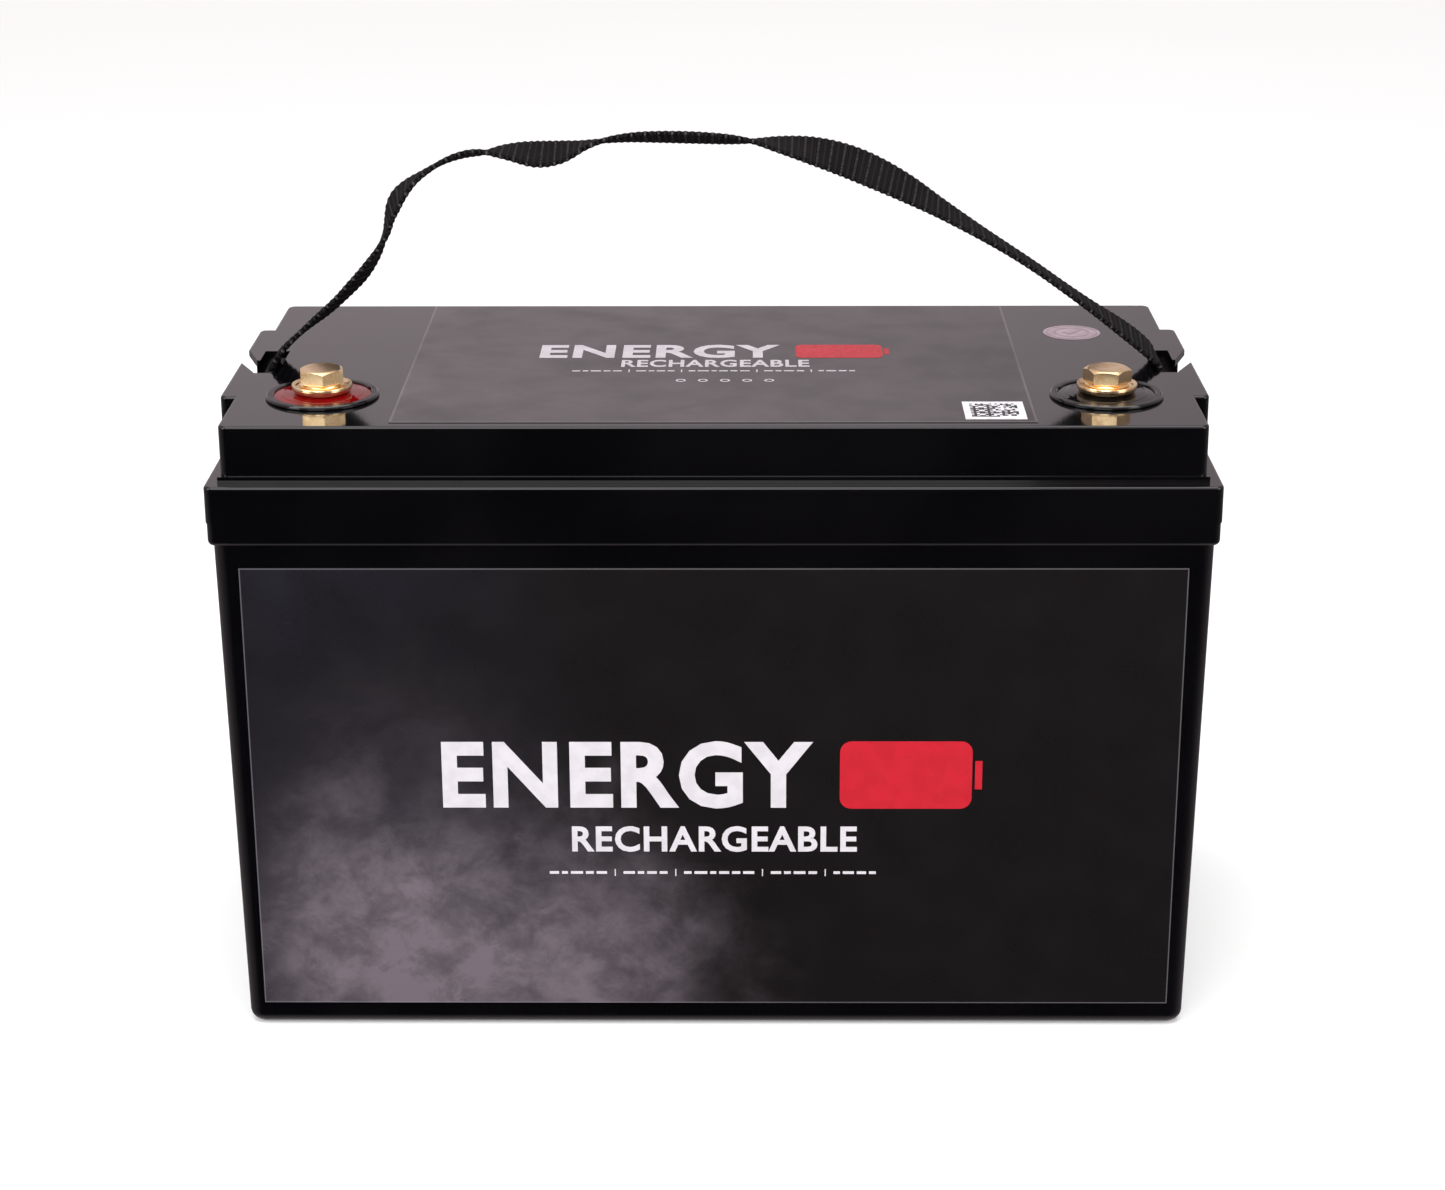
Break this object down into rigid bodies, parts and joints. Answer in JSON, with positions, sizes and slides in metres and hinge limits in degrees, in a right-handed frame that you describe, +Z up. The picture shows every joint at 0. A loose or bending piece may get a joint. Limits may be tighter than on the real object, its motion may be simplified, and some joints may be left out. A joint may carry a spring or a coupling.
{
  "type": "drop-in lithium battery",
  "caption": "Glossy black lithium battery case with a stepped lid, two bolted brass terminals and a webbing carry strap; cells, board and leads inside.",
  "frame": {"origin": "middle of the base, on the surface it stands on", "axes": "+Z up, +X to the right along the length with the front label facing -Y, positive terminal at -X"},
  "size_m": [0.33, 0.172, 0.2934],
  "materials": {
    "case_plastic": "gloss",
    "terminal_plastic": "gloss",
    "resin_red": "gloss",
    "resin_black": "gloss",
    "terminal_brass": "polished",
    "seal_rubber": "satin",
    "front_label_vinyl": "satin",
    "top_label_vinyl": "satin",
    "sticker_white": "satin",
    "sticker_pink": "satin",
    "webbing": "matte",
    "zinc_steel": "satin",
    "can_aluminium": "satin",
    "bright_aluminium": "satin",
    "electrode": "matte",
    "epoxy_board": "satin",
    "band_plastic": "satin",
    "foam": "matte",
    "circuit_board": "satin",
    "chip_plastic": "matte",
    "shunt_alloy": "satin",
    "connector_nylon": "satin",
    "lead_red": "satin",
    "lead_black": "satin",
    "tinned_copper": "satin"
  },
  "bodies": {
    "root": {"case": "case_plastic", "lid": "case_plastic", "terminal_ring_positive": "terminal_plastic", "terminal_ring_negative": "terminal_plastic", "resin_positive": "resin_red", "resin_negative": "resin_black", "terminal_post_positive": "terminal_brass", "terminal_post_negative": "terminal_brass", "post_nuts": "terminal_brass", "post_seals": "seal_rubber", "lid_seal": "seal_rubber", "front_label": "front_label_vinyl", "top_label": "top_label_vinyl", "data_sticker": "sticker_white", "check_sticker": "sticker_pink", "strap_end_left": "webbing", "strap_end_right": "webbing", "strap_pins": "zinc_steel", "busbar_nuts": "zinc_steel", "bms_screws": "zinc_steel", "cell_1": "can_aluminium", "cell_2": "can_aluminium", "cell_3": "can_aluminium", "cell_4": "can_aluminium", "cell_caps": "can_aluminium", "cell_vents": "can_aluminium", "cell_terminals": "bright_aluminium", "busbar_1": "bright_aluminium", "busbar_2": "bright_aluminium", "busbar_3": "bright_aluminium", "bms_heatsink": "bright_aluminium", "electrode_stacks": "electrode", "cell_separators": "epoxy_board", "end_plates": "epoxy_board", "pack_bands": "band_plastic", "base_pad": "foam", "foam_left": "foam", "foam_middle": "foam", "foam_right": "foam", "foam_front": "foam", "foam_back": "foam", "bms_board": "circuit_board", "bms_transistors": "chip_plastic", "bms_shunts": "shunt_alloy", "bms_connector": "connector_nylon", "cable_ties": "connector_nylon", "positive_lead": "lead_red", "pack_negative_lead": "lead_black", "output_negative_lead": "lead_black", "sense_wires": "lead_black", "temperature_sensor": "lead_black", "lead_lugs": "tinned_copper", "sense_tabs": "tinned_copper"},
    "washer_positive": {"spring_washer_positive": "terminal_brass"},
    "bolt_positive": {"bolt_positive": "terminal_brass"},
    "washer_negative": {"spring_washer_negative": "terminal_brass"},
    "bolt_negative": {"bolt_negative": "terminal_brass"},
    "strap": {"carry_strap": "webbing"}
  },
  "joints": [
    {"name": "bolt_positive_lift", "type": "slide", "parent": "root", "child": "washer_positive", "axis": [0, 0, 1], "range_m": [0, 0.0125]},
    {"name": "bolt_positive_turn", "type": "hinge", "parent": "washer_positive", "child": "bolt_positive", "pos_m": [-0.13065, -0.0442, 0.2188], "axis": [0, 0, 1], "range_deg": [0, 3600]},
    {"name": "bolt_negative_lift", "type": "slide", "parent": "root", "child": "washer_negative", "axis": [0, 0, 1], "range_m": [0, 0.0125]},
    {"name": "bolt_negative_turn", "type": "hinge", "parent": "washer_negative", "child": "bolt_negative", "pos_m": [0.13065, -0.0442, 0.2188], "axis": [0, 0, 1], "range_deg": [0, 3600]},
    {"name": "strap_tilt", "type": "hinge", "parent": "root", "child": "strap", "pos_m": [0, 0, 0.225], "axis": [1, 0, 0], "range_deg": [-80, 80]}
  ],
  "couplings": [
    {"joint": "bolt_positive_lift", "follows": "bolt_positive_turn", "m_per_rad": 0.00019894},
    {"joint": "bolt_negative_lift", "follows": "bolt_negative_turn", "m_per_rad": 0.00019894}
  ]
}
